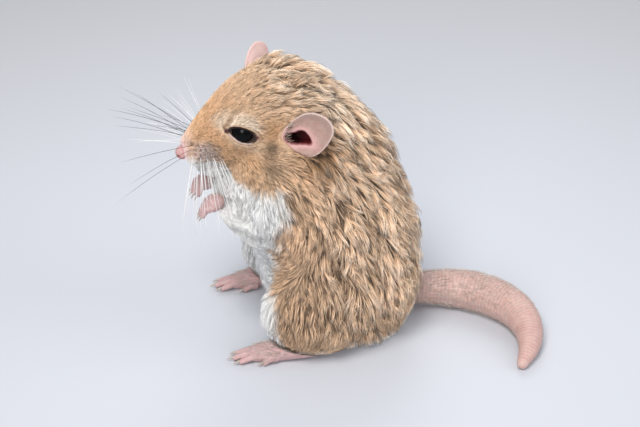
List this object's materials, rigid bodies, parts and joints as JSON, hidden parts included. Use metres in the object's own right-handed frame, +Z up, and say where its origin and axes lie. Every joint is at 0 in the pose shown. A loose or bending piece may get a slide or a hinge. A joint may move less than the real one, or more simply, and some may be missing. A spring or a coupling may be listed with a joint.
{
  "type": "gerbil",
  "caption": "Life-size still model of a fat-tailed gerbil sitting up on its haunches, with its forepaws held under its chin and its thick bare tail laid on the floor.",
  "frame": {"origin": "under the middle of the whole animal, whiskers and tail included, at floor level", "axes": "the animal faces -X, its tail goes to +X, its left side is towards -Y and +Z is up"},
  "size_m": [0.0964, 0.063, 0.0711],
  "materials": {
    "coat": "soft sandy fur, white below, with dark-tipped hairs on the crown and back",
    "skin": "bare pink skin of the nose, ears, paws and tail, a little moist",
    "eye": "black, wet and very glossy"
  },
  "bodies": {
    "root": {"head": "coat", "neck": "coat", "chest": "coat", "rump": "coat", "lower_jaw": "coat", "left_whisker_pad": "coat", "right_whisker_pad": "coat", "left_upper_arm": "coat", "right_upper_arm": "coat", "left_forearm": "coat", "right_forearm": "coat", "left_thigh": "coat", "right_thigh": "coat", "nose": "skin", "left_ear": "skin", "right_ear": "skin", "left_forepaw": "skin", "right_forepaw": "skin", "left_hind_foot": "skin", "right_hind_foot": "skin", "tail_base": "skin", "tail_middle": "skin", "tail_tip": "skin", "left_eye": "eye", "right_eye": "eye"}
  },
  "joints": []
}
